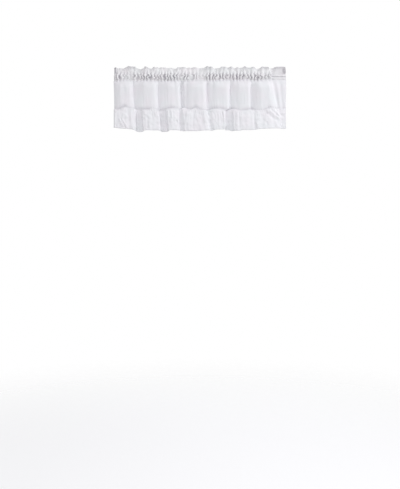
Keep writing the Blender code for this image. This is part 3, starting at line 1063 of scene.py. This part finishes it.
# ---- Studio ----
PIXEL = 0.00508  # metres to one pixel of the 400 by 489 picture, at the rod
PICTURE = (400, 489)
ROD_PIXEL = (199.8, 77.8)  # where the part's origin falls in the picture
CAMERA_DISTANCE = 3.0
SENSOR_WIDTH = 36.0  # millimetres
FLOOR_HEIGHT = -2.15
FLOOR_RADIUS = 4.0
FLOOR_CORNERS = 96
FLOOR_FADE = (0.15, 0.97)  # shares of its radius
PALE = (0.98, 0.98, 0.98)
WHITE = (1.0, 1.0, 1.0)
COOL_WHITE = (0.980, 0.980, 1.0)
LIGHT_FROM_BELOW = 0.48
LIGHT_FROM_ABOVE = 0.78
Lamp = namedtuple("Lamp", "name place size power")
LAMPS = (
    Lamp("key", (2.6, -1.3, 0.9), (1.4, 1.8), 36.0),
    Lamp("fill", (-0.5, -3.2, 0.5), (2.4, 2.0), 26.0),
    Lamp("back", (0.9, 3.0, 0.9), (2.0, 2.0), 26.0),
)


def build_camera(scene):
    camera = bpy.data.objects.new("camera", bpy.data.cameras.new("camera"))
    scene.collection.objects.link(camera)
    centre_x = (PICTURE[0] / 2 - ROD_PIXEL[0]) * PIXEL
    centre_z = -(PICTURE[1] / 2 - ROD_PIXEL[1]) * PIXEL
    camera.location = (centre_x, -CAMERA_DISTANCE, centre_z)
    camera.rotation_euler = (math.pi / 2, 0.0, 0.0)
    camera.data.sensor_width = SENSOR_WIDTH
    camera.data.lens = SENSOR_WIDTH * CAMERA_DISTANCE / (PICTURE[1] * PIXEL)
    scene.camera = camera


def build_world(scene):
    """A white room: it looks plain white, and lights the cloth softly from all round, a little
    more from above."""
    world = bpy.data.worlds.new("studio")
    scene.world = world
    world.use_nodes = True
    tree = world.node_tree
    seen = tree.nodes["Background"]
    fill(tree, seen, {"Color": (*WHITE, OPAQUE), "Strength": 1.0})
    direction = add_node(tree, "TexCoord", {}).outputs["Generated"]
    up = add_node(tree, "SeparateXYZ", {0: direction}).outputs["Z"]
    lights = {"From Min": -1.0, "To Min": LIGHT_FROM_BELOW, "To Max": LIGHT_FROM_ABOVE, "Value": up}
    strength = add_node(tree, "MapRange", lights).outputs["Result"]
    lighting = add_node(tree, "Background", {"Color": (*COOL_WHITE, OPAQUE), "Strength": strength})
    watched = add_node(tree, "LightPath", {}).outputs["Is Camera Ray"]
    both = {"Fac": watched, 1: lighting.outputs[0], 2: seen.outputs[0]}
    choice = add_node(tree, "MixShader", both).outputs[0]
    fill(tree, tree.nodes["World Output"], {"Surface": choice})


def build_lamp(scene, lamp):
    light = bpy.data.lights.new(lamp.name, "AREA")
    light.shape = "RECTANGLE"
    light.size, light.size_y = lamp.size
    light.energy = lamp.power
    light.color = COOL_WHITE
    holder = bpy.data.objects.new(lamp.name, light)
    holder.location = lamp.place
    holder.rotation_euler = Vector(lamp.place).to_track_quat("Z", "Y").to_euler()
    scene.collection.objects.link(holder)


def build_floor():
    """A pale floor that fades into the white round it."""
    centre = (0.0, 0.0, FLOOR_HEIGHT)
    bpy.ops.mesh.primitive_circle_add(
        vertices=FLOOR_CORNERS, radius=FLOOR_RADIUS, fill_type="NGON", location=centre
    )
    floor = bpy.context.object
    floor.name = "floor"
    material, tree, shader = new_material("pale_floor")
    fill(tree, shader, {"Base Color": (*PALE, OPAQUE), "Roughness": 0.9})
    place = add_node(tree, "TexCoord", {}).outputs["Object"]
    distance = add_node(tree, "VectorMath", {0: place}, operation="LENGTH").outputs["Value"]
    start, end = [share * FLOOR_RADIUS for share in FLOOR_FADE]
    reach = {"From Min": start, "From Max": end, "Value": distance}
    fade = add_node(tree, "MapRange", reach, interpolation_type="SMOOTHSTEP").outputs["Result"]
    clear = add_node(tree, "BsdfTransparent", {}).outputs[0]
    mix = add_node(tree, "MixShader", {"Fac": fade, 1: shader.outputs[0], 2: clear}).outputs[0]
    fill(tree, tree.nodes["Material Output"], {"Surface": mix})
    floor.data.materials.append(material)


def build_studio():
    scene = bpy.context.scene
    build_camera(scene)
    build_world(scene)
    for lamp in LAMPS:
        build_lamp(scene, lamp)
    build_floor()
    scene.view_settings.view_transform = "Standard"
    scene.view_settings.look = "None"


thread = thread_material()
heading_row = build_heading(cloth_material("heading_weave", HEADING_COLOUR), thread)
panel_row = build_panel(cloth_material("panel_weave", LOWER_COLOUR), heading_row)
build_flounce(cloth_material("flounce_weave", LOWER_COLOUR), thread, panel_row)
build_studio()
